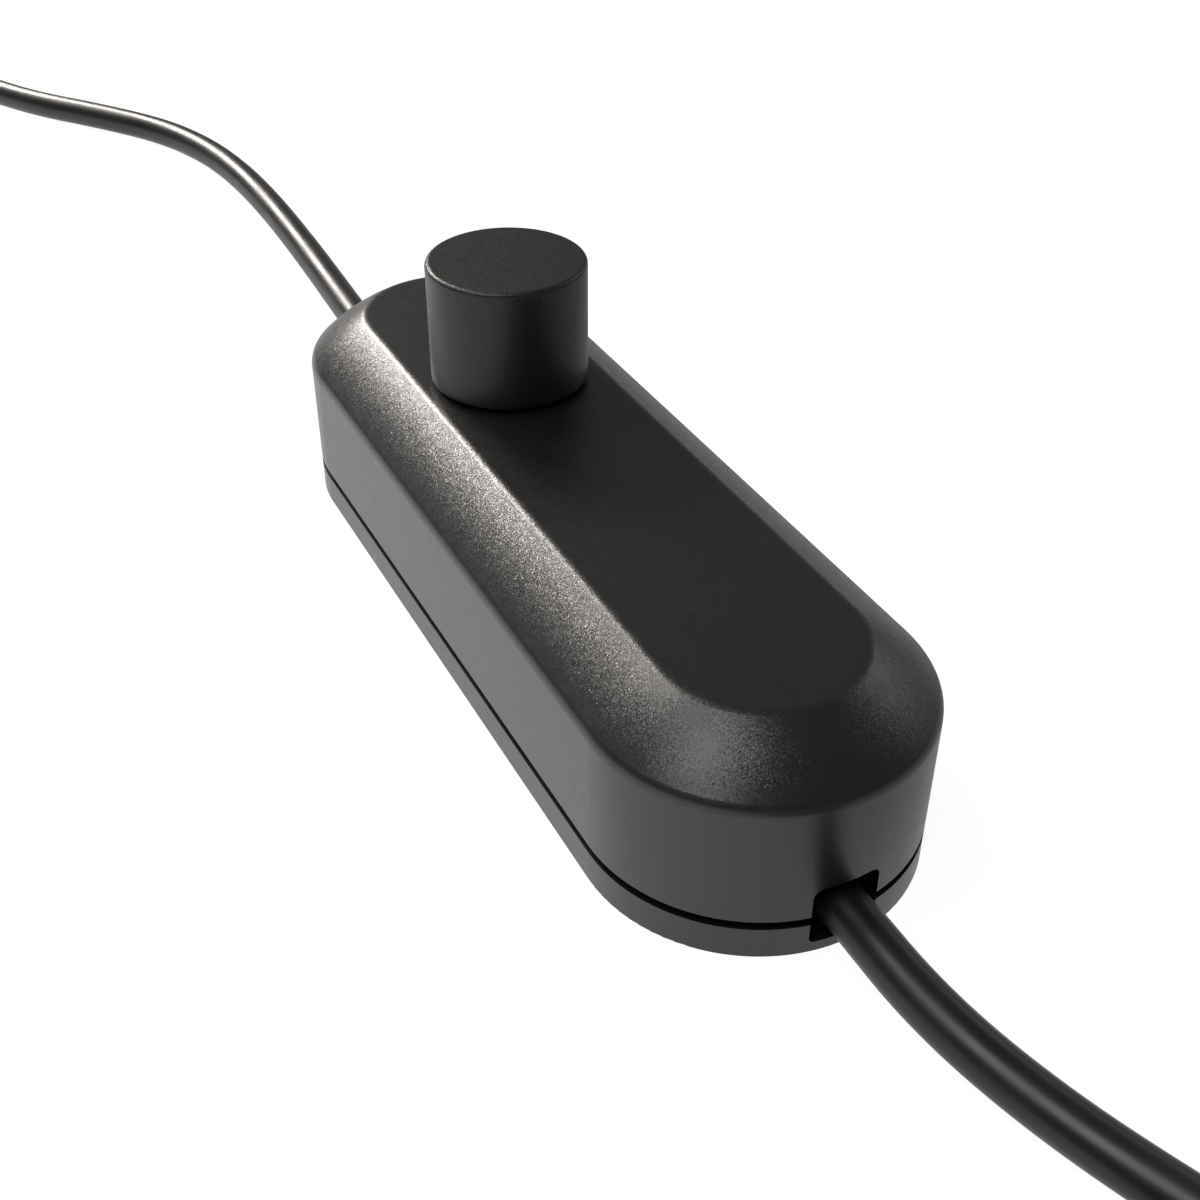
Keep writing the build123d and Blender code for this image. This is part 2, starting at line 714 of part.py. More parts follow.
with BuildPart() as fuse_wire:
    with BuildSketch(fuse_plane):
        Circle(0.15)
    extrude(amount=fuse_length / 2 - 0.3, both=True)
fuse_wire.part.label = "fuse_wire"
export_step(fuse_wire.part, "parts/fuse_wire.step")

with BuildPart() as fuse_caps:
    for end in (-1, 1):
        with BuildSketch(fuse_plane.offset(end * fuse_length / 2)):
            Circle(fuse_cap_radius)
        extrude(amount=-end * fuse_cap_length)
    with BuildSketch(fuse_plane):
        Circle(fuse_glass_radius)
    extrude(amount=fuse_length / 2 - 0.3, both=True, mode=Mode.SUBTRACT)
fuse_caps.part.label = "fuse_caps"
export_step(fuse_caps.part, "parts/fuse_caps.step")

with BuildPart() as fuse_clips:
    for end in (-1, 1):
        with BuildSketch(fuse_plane.offset(end * (fuse_length - fuse_cap_length) / 2)):
            Circle(fuse_cap_radius + 0.35)
            with Locations((0, (board_top - fuse_height) / 2)):
                Rectangle(2.4, fuse_height - board_top)
            Circle(fuse_cap_radius, mode=Mode.SUBTRACT)
            with Locations((0, fuse_cap_radius)):
                Rectangle(3.0, 2.4, mode=Mode.SUBTRACT)
        extrude(amount=fuse_clip_width / 2, both=True)
fuse_clips.part.label = "fuse_clips"
export_step(fuse_clips.part, "parts/fuse_clips.step")

# Terminal blocks, cages and screws; end is -1 on the supply side and 1 on the lamp side
sides = ((-1, "input"), (1, "output"))
cage_bottom = entry_height - cage_height / 2
for end, side in sides:
    with BuildPart() as terminal_block:
        with BuildSketch(Plane(origin=(end * terminal_x, 0, board_top))):
            Rectangle(terminal_length, terminal_width)
        extrude(amount=terminal_top - board_top)
        with BuildSketch(Plane(origin=(end * terminal_x, 0, cage_bottom))):
            with GridLocations(0, 2 * terminal_pitch, 1, 2):
                Rectangle(cage_length, cage_width)
        extrude(amount=cage_height, mode=Mode.SUBTRACT)
        with BuildSketch(Plane(origin=(end * terminal_x, 0, cage_bottom + cage_height))):
            with GridLocations(0, 2 * terminal_pitch, 1, 2):
                Circle(cage_screw_radius)
        extrude(amount=terminal_top, mode=Mode.SUBTRACT)
        with BuildSketch(Plane(origin=(end * terminal_x, 0, entry_height), z_dir=(end, 0, 0))):
            with Locations((0, -terminal_pitch), (0, terminal_pitch)):
                Circle(core_radius)
        extrude(amount=terminal_length, mode=Mode.SUBTRACT)
    terminal_block.part.label = f"{side}_terminal_block"
    export_step(terminal_block.part, f"parts/{side}_terminal_block.step")

with BuildPart() as terminal_cages:
    for end, side in sides:
        with BuildSketch(Plane(origin=(end * terminal_x, 0, cage_bottom))):
            with GridLocations(0, 2 * terminal_pitch, 1, 2):
                Rectangle(cage_length, cage_width)
        extrude(amount=cage_height)
        with BuildSketch(Plane(origin=(end * terminal_x, 0, entry_height))):
            with GridLocations(0, 2 * terminal_pitch, 1, 2):
                Circle(cage_screw_radius)
        extrude(amount=cage_height, mode=Mode.SUBTRACT)
    for row in (-terminal_pitch, terminal_pitch):
        with BuildSketch(Plane(origin=(0, row, entry_height), z_dir=(1, 0, 0))):
            Circle(core_radius)
        extrude(amount=housing_end_x, both=True, mode=Mode.SUBTRACT)
terminal_cages.part.label = "terminal_cages"
export_step(terminal_cages.part, "parts/terminal_cages.step")

with BuildPart() as terminal_screws:
    for end, side in sides:
        with BuildSketch(Plane(origin=(end * terminal_x, 0, entry_height + conductor_radius))):
            with GridLocations(0, 2 * terminal_pitch, 1, 2):
                Circle(cage_screw_radius)
        extrude(amount=cage_screw_top - entry_height - conductor_radius)
        with BuildSketch(Plane(origin=(end * terminal_x, 0, cage_screw_top))):
            with GridLocations(0, 2 * terminal_pitch, 1, 2):
                Rectangle(0.5, 4.0)
        extrude(amount=-0.8, mode=Mode.SUBTRACT)
terminal_screws.part.label = "terminal_screws"
export_step(terminal_screws.part, "parts/terminal_screws.step")

# Cord clamps: a bar over each saddle, with two screws
for end, side in sides:
    with BuildPart() as clamp_bar:
        with BuildSketch(Plane(origin=(end * clamp_x, 0, clamp_bar_bottom))):
            RectangleRounded(clamp_length, clamp_width, 1.2)
        extrude(amount=clamp_bar_top - clamp_bar_bottom)
        with BuildSketch(Plane.YZ):
            with Locations((0, cord_height)):
                Circle(cord_radius)
        extrude(amount=housing_end_x, both=True, mode=Mode.SUBTRACT)
        with BuildSketch(Plane(origin=(end * clamp_x, 0, clamp_bar_bottom))):
            with GridLocations(0, 2 * clamp_screw_y, 1, 2):
                Circle(clamp_screw_radius)
        extrude(amount=clamp_bar_top - clamp_bar_bottom, mode=Mode.SUBTRACT)
    clamp_bar.part.label = f"{side}_clamp_bar"
    export_step(clamp_bar.part, f"parts/{side}_clamp_bar.step")

with BuildPart() as clamp_screws:
    with BuildSketch(Plane.XY.offset(clamp_screw_tip)):
        with GridLocations(2 * clamp_x, 2 * clamp_screw_y, 2, 2):
            Circle(clamp_screw_radius)
    extrude(amount=clamp_bar_top - clamp_screw_tip)
    with BuildSketch(Plane.XY.offset(clamp_bar_top)):
        with GridLocations(2 * clamp_x, 2 * clamp_screw_y, 2, 2):
            Circle(clamp_head_radius)
    extrude(amount=clamp_head_height)
    fillet(clamp_screws.edges().group_by(Axis.Z)[-1], 0.5)
clamp_screws.part.label = "clamp_screws"
export_step(clamp_screws.part, "parts/clamp_screws.step")

# Cores from the sheath up into the terminal blocks, and the bare conductors in the cages
for end, side in sides:
    for row, polarity in ((-1, "live"), (1, "neutral")):
        with BuildPart() as core:
            with BuildLine() as core_path:
                FilletPolyline(
                    (end * sheath_end_x, row * core_pitch, cord_height),
                    (end * 42.0, row * core_pitch, cord_height),
                    (end * 39.5, row * terminal_pitch, entry_height),
                    (end * (terminal_x + cage_length / 2 + 0.3), row * terminal_pitch, entry_height),
                    radius=2.0,
                )
            with BuildSketch(Plane(origin=core_path.line @ 0, z_dir=core_path.line % 0)):
                Circle(core_radius)
            sweep()
        core.part.label = f"{side}_{polarity}_core"
        export_step(core.part, f"parts/{side}_{polarity}_core.step")

with BuildPart() as core_conductors:
    for end, side in sides:
        with BuildSketch(Plane(origin=(end * (terminal_x + cage_length / 2 + 0.3), 0, entry_height),
                               z_dir=(end, 0, 0))):
            with Locations((0, -terminal_pitch), (0, terminal_pitch)):
                Circle(conductor_radius)
        extrude(amount=-cage_length)
core_conductors.part.label = "core_conductors"
export_step(core_conductors.part, "parts/core_conductors.step")

# Flex: a free length, a put-away coil with its tie, and a tail with stripped, ferruled cores
flexes = (
    ("input", input_coil, input_route, input_tail_route, 135, 1),
    ("output", output_coil, output_route, output_tail_route, 315, -1),
)
for side, coil_centre, route, tail_route, tie_angle, heading in flexes:
    with BuildPart() as cord:
        with BuildLine() as cord_path:
            FilletPolyline(*route, radius=bend_radii(route))
        with BuildSketch(Plane(origin=cord_path.line @ 0, z_dir=cord_path.line % 0)):
            Circle(cord_radius)
        sweep()
    cord.part.label = f"{side}_cord"
    export_step(cord.part, f"parts/{side}_cord.step")
    report_bends(f"{side} cord", route, cord_path.wire().length, cord.part.volume)

    with BuildPart() as cord_tail:
        with BuildLine() as tail_path:
            FilletPolyline(*tail_route, radius=bend_radii(tail_route))
        with BuildSketch(Plane(origin=tail_path.line @ 0, z_dir=tail_path.line % 0)):
            Circle(cord_radius)
        sweep()
    cord_tail.part.label = f"{side}_cord_tail"
    export_step(cord_tail.part, f"parts/{side}_cord_tail.step")
    report_bends(f"{side} tail", tail_route, tail_path.wire().length, cord_tail.part.volume)

    tie_plane = Plane(
        origin=(*coil_centre, 0),
        x_dir=Vector(1, 0, 0).rotate(Axis.Z, tie_angle),
        z_dir=Vector(0, -1, 0).rotate(Axis.Z, tie_angle),
    )
    tie_inner = coil_inner - 0.45
    tie_middle = (tie_inner + coil_outer) / 2
    with BuildPart() as coil_tie:
        with BuildSketch(tie_plane):
            with Locations((tie_middle, (coil_height + tie_thickness) / 2)):
                RectangleRounded(
                    coil_outer - tie_inner + 2 * tie_thickness, coil_height + tie_thickness, coil_edge_round
                )
            with Locations((tie_middle, (coil_height + tie_thickness) / 2)):
                RectangleRounded(coil_outer - tie_inner, coil_height - tie_thickness,
                                 coil_edge_round - tie_thickness, mode=Mode.SUBTRACT)
        extrude(amount=tie_width / 2, both=True)
    coil_tie.part.label = f"{side}_coil_tie"
    export_step(coil_tie.part, f"parts/{side}_coil_tie.step")

    with BuildPart() as cord_coil:
        with BuildSketch(Plane(origin=(*coil_centre, 0), x_dir=(1, 0, 0), z_dir=(0, -1, 0))):
            with Locations((coil_mean_radius, coil_height / 2)):
                RectangleRounded(coil_outer - coil_inner, coil_height, coil_edge_round)
        revolve(axis=Axis((*coil_centre, 0), (0, 0, 1)))
        add(cord.part, mode=Mode.SUBTRACT)
        add(cord_tail.part, mode=Mode.SUBTRACT)
        add(coil_tie.part, mode=Mode.SUBTRACT)
    cord_coil.part.label = f"{side}_cord_coil"
    export_step(cord_coil.part, f"parts/{side}_cord_coil.step")

    sheath_end = Vector(*tail_route[-1])
    ferrule_planes = []
    with BuildPart() as end_cores:
        for row in (-1, 1):
            with BuildLine() as end_path:
                FilletPolyline(
                    *[(sheath_end.X + heading * along, sheath_end.Y + row * across, height)
                      for along, across, height in end_core_steps],
                    radius=end_core_bend,
                )
            with BuildSketch(Plane(origin=end_path.line @ 0, z_dir=end_path.line % 0)):
                Circle(core_radius)
            sweep()
            ferrule_planes.append(Plane(origin=end_path.line @ 1, z_dir=end_path.line % 1))
    end_cores.part.label = f"{side}_end_cores"
    export_step(end_cores.part, f"parts/{side}_end_cores.step")

    with BuildPart() as end_ferrules:
        for ferrule_plane in ferrule_planes:
            with BuildSketch(ferrule_plane):
                Circle(ferrule_radius)
            extrude(amount=ferrule_length)
    end_ferrules.part.label = f"{side}_end_ferrules"
    export_step(end_ferrules.part, f"parts/{side}_end_ferrules.step")
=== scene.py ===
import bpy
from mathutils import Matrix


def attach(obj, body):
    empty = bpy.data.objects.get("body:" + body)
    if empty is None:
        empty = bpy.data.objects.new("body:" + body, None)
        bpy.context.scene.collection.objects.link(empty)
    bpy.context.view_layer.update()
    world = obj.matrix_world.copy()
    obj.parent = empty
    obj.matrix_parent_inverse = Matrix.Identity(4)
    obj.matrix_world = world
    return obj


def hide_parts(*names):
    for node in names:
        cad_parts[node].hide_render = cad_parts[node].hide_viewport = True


bl_info = {
    "name": "In-line lamp dimmer",
    "version": (1, 0, 0),
    "blender": (4, 5, 0),
    "location": "View3D > Sidebar > Dimmer",
    "description": "Finishes an in-line rotary lamp dimmer: flex, plastics, metals, lamps and camera",
    "category": "Object",
}

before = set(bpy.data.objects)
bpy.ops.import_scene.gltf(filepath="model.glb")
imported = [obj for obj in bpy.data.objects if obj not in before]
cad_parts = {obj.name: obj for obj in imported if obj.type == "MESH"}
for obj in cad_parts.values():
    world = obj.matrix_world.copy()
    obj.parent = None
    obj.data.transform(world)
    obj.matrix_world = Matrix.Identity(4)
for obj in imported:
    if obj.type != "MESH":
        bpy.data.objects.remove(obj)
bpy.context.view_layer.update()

from math import cos, pi, radians, sin

import bpy
from bpy.props import FloatProperty, FloatVectorProperty, PointerProperty
from mathutils import Matrix, Vector

# Flex routes, in metres: control points from each clamp to the coil, and from the coil to the stripped end
INPUT_ROUTE = (
    (-0.044, 0.0, 0.0046), (-0.057, 0.0, 0.0046), (-0.071, 0.0008, 0.0034), (-0.088, 0.002, 0.0025),
    (-0.112, 0.003, 0.0025), (-0.134, 0.0034, 0.0025), (-0.152, 0.0027, 0.0025),
    (-0.167, 0.0004, 0.0025), (-0.181, -0.0046, 0.0025), (-0.195, -0.0138, 0.0025),
    (-0.2095, -0.025, 0.0025), (-0.229, -0.0346, 0.0025), (-0.260, -0.038, 0.0025),
    (-0.298, -0.0381, 0.0025),
)
INPUT_TAIL = (
    (-0.328, 0.0174, 0.0072), (-0.314, 0.0168, 0.0025), (-0.302, 0.0168, 0.0025),
)
OUTPUT_ROUTE = (
    (0.044, 0.0, 0.0046), (0.057, 0.0, 0.0046), (0.069, 0.0005, 0.0036), (0.081, 0.0036, 0.0025),
    (0.094, 0.0082, 0.0025), (0.108, 0.0144, 0.0025),
)
OUTPUT_TAIL = (
    (0.114, -0.0374, 0.0072), (0.100, -0.0368, 0.0025), (0.088, -0.0368, 0.0025),
)
INPUT_COIL = Vector((-0.337, -0.010, 0.0))
OUTPUT_COIL = Vector((0.123, -0.010, 0.0))

# A coil's winding: (angle wound so far in degrees, turn radius and height in flex diameters)
COIL_STAGES = (
    (0, 5.5, 0.5), (300, 5.5, 0.5), (360, 4.5, 0.5), (600, 4.5, 0.5), (660, 4.5, 1.5),
    (900, 4.5, 1.5), (960, 5.5, 1.5), (1260, 5.5, 1.5),
)
POINTS_PER_TURN = 16
STEPS_PER_SPAN = 10
SECTION_STEPS = 8

# Unevenness of all surfaces: where nearly all of a noise lies, and the depth of fine relief in metres
NOISE_RANGE = (0.3, 0.7)
FINE_RELIEF = 0.000004

# Grain of the moulded plastics: heights in metres, and shares of its full tilt
HOUSING_GRAIN_FROM = 0.0206
HOUSING_WORN_FROM = 0.0229
KNOB_GRAIN_FROM = 0.0382
GRAIN_FADE = 0.002
WORN_FADE = 0.001
GRAIN_ON_WALLS = 0.06
GRAIN_WHERE_WORN = 0.7

# One facet in ten leans further than the rest, up to twice as far, and glints
GLINT_FROM = 0.9
GLINT_LEAN = 2

# Base colours of the insulation of the two cores
LIVE_BROWN = (0.12, 0.045, 0.018)
NEUTRAL_BLUE = (0.02, 0.09, 0.32)

# Camera: sensor width in millimetres, nearest visible distance in metres
SENSOR_WIDTH = 36
CLIP_START = 0.005

# Floor: its glow seen in reflections falls from the first brightness to the second between two values of Y,
# painted shade on the far side away from the lamps
FLOOR_RADIUS = 15.0
FLOOR_PAINT = (0.8, 0.8, 0.8, 1)
FLOOR_SHADE = (0.1, 0.1, 0.1, 1)
FLOOR_TO_CAMERA = 0.95
REFLECTION_PLACES = (-0.025, 0.04)
REFLECTION_BRIGHTNESS = (1.0, 0.36)
WORLD_STRENGTH = 0.17

# Lamps, each turned to the object: name, place, size, power in watts and colour
LAMPS = (
    ("far_box", (-0.88, -0.15, 0.50), (0.24, 0.24), 7.6, (1.0, 0.94, 0.88)),
    ("distant_box", (-2.65, -0.65, 1.30), (0.5, 0.6), 4.5, (1.0, 0.96, 0.91)),
    ("middle_box", (-0.50, -0.38, 0.80), (0.3, 0.3), 2.8, (1.0, 0.96, 0.91)),
    ("overhead_box", (0.15, -0.47, 0.88), (0.55, 0.55), 4.1, (1.0, 1.0, 1.0)),
    ("back_box", (-0.10, 1.00, 0.55), (0.7, 0.5), 1.3, (1.0, 1.0, 1.0)),
)


class DimmerFinish(bpy.types.PropertyGroup):
    """Colours and surface of the plastics"""

    housing_colour: FloatVectorProperty(
        name="Housing colour", description="Base colour of the two housing shells",
        subtype="COLOR", default=(0.006, 0.006, 0.006), min=0, max=1)
    knob_colour: FloatVectorProperty(
        name="Knob colour", description="Base colour of the knob",
        subtype="COLOR", default=(0.006, 0.006, 0.006), min=0, max=1)
    flex_colour: FloatVectorProperty(
        name="Flex colour", description="Base colour of the flex sheath",
        subtype="COLOR", default=(0.006, 0.006, 0.006), min=0, max=1)
    grain_size: FloatProperty(
        name="Grain size", description="Width of one facet of the spark-eroded surface",
        subtype="DISTANCE", unit="LENGTH", default=0.00009, min=0.00005, max=0.002)
    grain_tilt: FloatProperty(
        name="Grain tilt", description="How far the facets of the spark-eroded surface lean over",
        default=0.21, min=0, max=1)


class DimmerFlex(bpy.types.PropertyGroup):
    """Sizes of the flex"""

    diameter: FloatProperty(
        name="Diameter", description="Outer diameter of the flex sheath",
        subtype="DISTANCE", unit="LENGTH", default=0.005, min=0.002, max=0.01)
    input_length: FloatProperty(
        name="Supply length", description="Length of the flex on the knob's side",
        subtype="DISTANCE", unit="LENGTH", default=0.89, min=0.1, max=5)
    output_length: FloatProperty(
        name="Lamp length", description="Length of the flex on the other side",
        subtype="DISTANCE", unit="LENGTH", default=0.67, min=0.1, max=5)


class DimmerStage(bpy.types.PropertyGroup):
    """Camera, lamps and floor"""

    camera_place: FloatVectorProperty(
        name="Camera place", description="Where the camera stands",
        subtype="TRANSLATION", unit="LENGTH", default=(0.137199, -0.066814, 0.115506))
    camera_azimuth: FloatProperty(
        name="Camera azimuth", description="Direction the camera looks in, from +Y towards -X",
        subtype="ANGLE", unit="ROTATION", default=radians(63.114))
    camera_elevation: FloatProperty(
        name="Camera elevation", description="How far the camera looks down",
        subtype="ANGLE", unit="ROTATION", default=radians(36.369))
    camera_roll: FloatProperty(
        name="Camera roll", description="Turn about the line of sight",
        subtype="ANGLE", unit="ROTATION", default=radians(0.258))
    lens: FloatProperty(
        name="Lens", description="Focal length in millimetres on a 36 mm sensor",
        default=47.457, min=10, max=200)
    lamp_strength: FloatProperty(
        name="Lamp strength", description="Brightness of all lamps together",
        default=1.0, min=0, max=10)


def new_material(name):
    """A material with an empty node tree, and its output node."""
    material = bpy.data.materials.new(name)
    material.use_nodes = True
    tree = material.node_tree
    tree.nodes.clear()
    output = tree.nodes.new("ShaderNodeOutputMaterial")
    return material, tree, output


def new_finish(name):
    """A material with one shader, its node tree, that shader, and places in the object's own coordinates."""
    material, tree, output = new_material(name)
    shader = tree.nodes.new("ShaderNodeBsdfPrincipled")
    tree.links.new(shader.outputs["BSDF"], output.inputs["Surface"])
    place = tree.nodes.new("ShaderNodeTexCoord").outputs["Object"]
    return material, tree, shader, place


def noise(tree, coordinates, size, detail=2.0):
    """Noise whose features are about size metres wide."""
    node = tree.nodes.new("ShaderNodeTexNoise")
    node.inputs["Scale"].default_value = 1 / size
    node.inputs["Detail"].default_value = detail
    tree.links.new(coordinates, node.inputs["Vector"])
    return node.outputs["Fac"]


def value_ramp(tree, value, low, high, out_low, out_high):
    """Maps a value from low..high to out_low..out_high."""
    node = tree.nodes.new("ShaderNodeMapRange")
    node.inputs["From Min"].default_value = low
    node.inputs["From Max"].default_value = high
    node.inputs["To Min"].default_value = out_low
    node.inputs["To Max"].default_value = out_high
    tree.links.new(value, node.inputs["Value"])
    return node.outputs["Result"]


def uneven(tree, cloud, low, high):
    """Spreads a noise over low..high: it hardly leaves the middle of its own range from 0 to 1."""
    return value_ramp(tree, cloud, *NOISE_RANGE, low, high)


def bump(tree, height, depth):
    """Bump of a height from 0 to 1 over a depth in metres."""
    node = tree.nodes.new("ShaderNodeBump")
    node.inputs["Distance"].default_value = depth
    tree.links.new(height, node.inputs["Height"])
    return node.outputs["Normal"]


def tinted(tree, value, dark, light):
    """A colour between dark and light, by a value from 0 to 1."""
    node = tree.nodes.new("ShaderNodeMix")
    node.data_type = "RGBA"
    node.inputs["A"].default_value = (*dark, 1)
    node.inputs["B"].default_value = (*light, 1)
    tree.links.new(value, node.inputs["Factor"])
    return node.outputs["Result"]


def scaled(colour, factor):
    """A colour times a factor."""
    return tuple(min(1.0, channel * factor) for channel in colour)


def calculated(tree, operation, first, second):
    """A sum, product, maximum or comparison of a value with another value or a number."""
    node = tree.nodes.new("ShaderNodeMath")
    node.operation = operation
    tree.links.new(first, node.inputs[0])
    if isinstance(second, bpy.types.NodeSocket):
        tree.links.new(second, node.inputs[1])
    else:
        node.inputs[1].default_value = second
    return node.outputs[0]


def along(tree, place, axis):
    """One coordinate of a place: X, Y or Z."""
    node = tree.nodes.new("ShaderNodeSeparateXYZ")
    tree.links.new(place, node.inputs[0])
    return node.outputs[axis]


def grained_plastic(name, colour, grain_size, tilt, roughness, index, grain_from=None, worn_from=None):
    """Moulded plastic from a spark-eroded mould: tiny facets that each lean their own way, a few far enough
    to glint.

    Above the height grain_from, in metres, the grain is at its full depth; lower down the walls are plain,
    so that they leave the mould. Above worn_from hands have smoothed it. With no heights, it is the same
    all over."""
    material, tree, shader, place = new_finish(name)
    cloud = noise(tree, place, 0.009, 3.0)
    tree.links.new(tinted(tree, cloud, scaled(colour, 0.8), scaled(colour, 1.2)),
                   shader.inputs["Base Color"])
    tree.links.new(uneven(tree, noise(tree, place, 0.0012), roughness - 0.02, roughness + 0.02),
                   shader.inputs["Roughness"])
    cells = tree.nodes.new("ShaderNodeTexVoronoi")
    cells.inputs["Scale"].default_value = 1 / grain_size
    tree.links.new(place, cells.inputs["Vector"])
    centred = tree.nodes.new("ShaderNodeVectorMath")
    centred.operation = "SUBTRACT"
    centred.inputs[1].default_value = (0.5, 0.5, 0.5)
    tree.links.new(cells.outputs["Color"], centred.inputs[0])
    strength = tree.nodes.new("ShaderNodeVectorMath")
    strength.operation = "SCALE"
    tree.links.new(centred.outputs[0], strength.inputs[0])
    chance = tree.nodes.new("ShaderNodeTexWhiteNoise")
    tree.links.new(cells.outputs["Position"], chance.inputs["Vector"])
    lean = value_ramp(tree, chance.outputs["Value"], GLINT_FROM, 1.0, tilt, tilt * GLINT_LEAN)
    if grain_from is not None:
        height = along(tree, place, "Z")
        depth = value_ramp(tree, height, grain_from - GRAIN_FADE, grain_from, GRAIN_ON_WALLS, 1)
        lean = calculated(tree, "MULTIPLY", lean, depth)
        if worn_from is not None:
            wear = value_ramp(tree, height, worn_from, worn_from + WORN_FADE, 1, GRAIN_WHERE_WORN)
            lean = calculated(tree, "MULTIPLY", lean, wear)
    tree.links.new(lean, strength.inputs["Scale"])
    relief = tree.nodes.new("ShaderNodeVectorMath")
    tree.links.new(tree.nodes.new("ShaderNodeNewGeometry").outputs["Normal"], relief.inputs[0])
    tree.links.new(strength.outputs[0], relief.inputs[1])
    facet = tree.nodes.new("ShaderNodeVectorMath")
    facet.operation = "NORMALIZE"
    tree.links.new(relief.outputs[0], facet.inputs[0])
    tree.links.new(facet.outputs[0], shader.inputs["Normal"])
    shader.inputs["IOR"].default_value = index
    return material


def clouded(tree, cloud, colour):
    """A colour that a noise makes a little darker here and lighter there."""
    return tinted(tree, cloud, scaled(colour, 0.85), scaled(colour, 1.15))


def smooth_plastic(name, colour, roughness):
    """Smooth moulded or extruded plastic with the faint unevenness of its making."""
    material, tree, shader, place = new_finish(name)
    cloud = noise(tree, place, 0.006, 3.0)
    tree.links.new(clouded(tree, cloud, colour), shader.inputs["Base Color"])
    tree.links.new(uneven(tree, cloud, roughness - 0.04, roughness + 0.04), shader.inputs["Roughness"])
    tree.links.new(bump(tree, noise(tree, place, 0.0008), FINE_RELIEF), shader.inputs["Normal"])
    return material


def core_insulation(name, live, neutral, border):
    """Insulation of two cores side by side: live where Y is above border, neutral below it."""
    material = smooth_plastic(name, live, 0.35)
    tree = material.node_tree
    shader = next(node for node in tree.nodes if node.type == "BSDF_PRINCIPLED")
    place = tree.nodes.new("ShaderNodeTexCoord").outputs["Object"]
    side = calculated(tree, "GREATER_THAN", along(tree, place, "Y"), border)
    choice = tree.nodes.new("ShaderNodeMix")
    choice.data_type = "RGBA"
    tree.links.new(side, choice.inputs["Factor"])
    tree.links.new(clouded(tree, noise(tree, place, 0.006, 3.0), neutral), choice.inputs["A"])
    tree.links.new(shader.inputs["Base Color"].links[0].from_socket, choice.inputs["B"])
    tree.links.new(choice.outputs["Result"], shader.inputs["Base Color"])
    return material


def metal(name, colour, roughness):
    """Metal with fine tarnish and machining marks."""
    material, tree, shader, place = new_finish(name)
    shader.inputs["Metallic"].default_value = 1.0
    tarnish = noise(tree, place, 0.002, 3.0)
    tree.links.new(tinted(tree, tarnish, scaled(colour, 0.82), colour), shader.inputs["Base Color"])
    tree.links.new(uneven(tree, tarnish, roughness - 0.05, roughness + 0.08), shader.inputs["Roughness"])
    tree.links.new(bump(tree, noise(tree, place, 0.0004), FINE_RELIEF), shader.inputs["Normal"])
    return material


def clear_glass(name):
    """Thin clear glass."""
    material, tree, shader, place = new_finish(name)
    shader.inputs["Transmission Weight"].default_value = 1.0
    tree.links.new(uneven(tree, noise(tree, place, 0.002), 0.02, 0.06), shader.inputs["Roughness"])
    return material


def dress(nodes, material):
    """Gives CAD nodes a material."""
    for node in nodes:
        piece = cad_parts[node]
        for place in piece.material_slots:
            place.material = material


def wound(centre, first_angle, diameter):
    """Control points of a coil wound clockwise from first_angle, in degrees."""
    points = []
    step = 360 / POINTS_PER_TURN
    # The curve runs inside its control points, so they stand further out by this factor
    reach = 1 / (0.75 + 0.25 * cos(radians(step)))
    steps = round(COIL_STAGES[-1][0] / step)
    for count in range(steps + 2):
        turned = (count - 0.5) * step
        stages = zip(COIL_STAGES, COIL_STAGES[1:])
        held = min(max(turned, 0), COIL_STAGES[-1][0])
        before, after = next(pair for pair in stages if held <= pair[1][0])
        share = (held - before[0]) / (after[0] - before[0])
        radius = (before[1] + share * (after[1] - before[1])) * diameter * reach
        height = (before[2] + share * (after[2] - before[2])) * diameter
        angle = radians(first_angle - turned)
        points.append(centre + Vector((radius * cos(angle), radius * sin(angle), height)))
    return points


def flex_curve(name, points, diameter):
    """A round flex along a smooth curve with these control points."""
    curve = bpy.data.curves.new(name, "CURVE")
    curve.dimensions = "3D"
    spline = curve.splines.new("NURBS")
    spline.points.add(len(points) - 1)
    for point, place in zip(spline.points, points):
        point.co = (*place, 1)
    spline.order_u = 3
    spline.use_endpoint_u = True
    spline.resolution_u = STEPS_PER_SPAN
    curve.bevel_depth = diameter / 2
    curve.bevel_resolution = SECTION_STEPS
    curve.use_fill_caps = True
    piece = bpy.data.objects.new(name, curve)
    bpy.context.collection.objects.link(piece)
    return piece


class DIMMER_OT_camera(bpy.types.Operator):
    """Places the camera at the photograph's angle"""

    bl_idname = "dimmer.camera"
    bl_label = "Camera"

    def execute(self, context):
        stage = context.scene.dimmer_stage
        camera = bpy.data.cameras.new("view_camera")
        camera.lens = stage.lens
        camera.sensor_width = SENSOR_WIDTH
        camera.clip_start = CLIP_START
        viewer = bpy.data.objects.new("view_camera", camera)
        context.collection.objects.link(viewer)
        turn = (Matrix.Rotation(stage.camera_azimuth, 4, "Z")
                @ Matrix.Rotation(pi / 2 - stage.camera_elevation, 4, "X")
                @ Matrix.Rotation(stage.camera_roll, 4, "Z"))
        viewer.matrix_world = Matrix.Translation(stage.camera_place) @ turn
        context.scene.camera = viewer
        return {"FINISHED"}


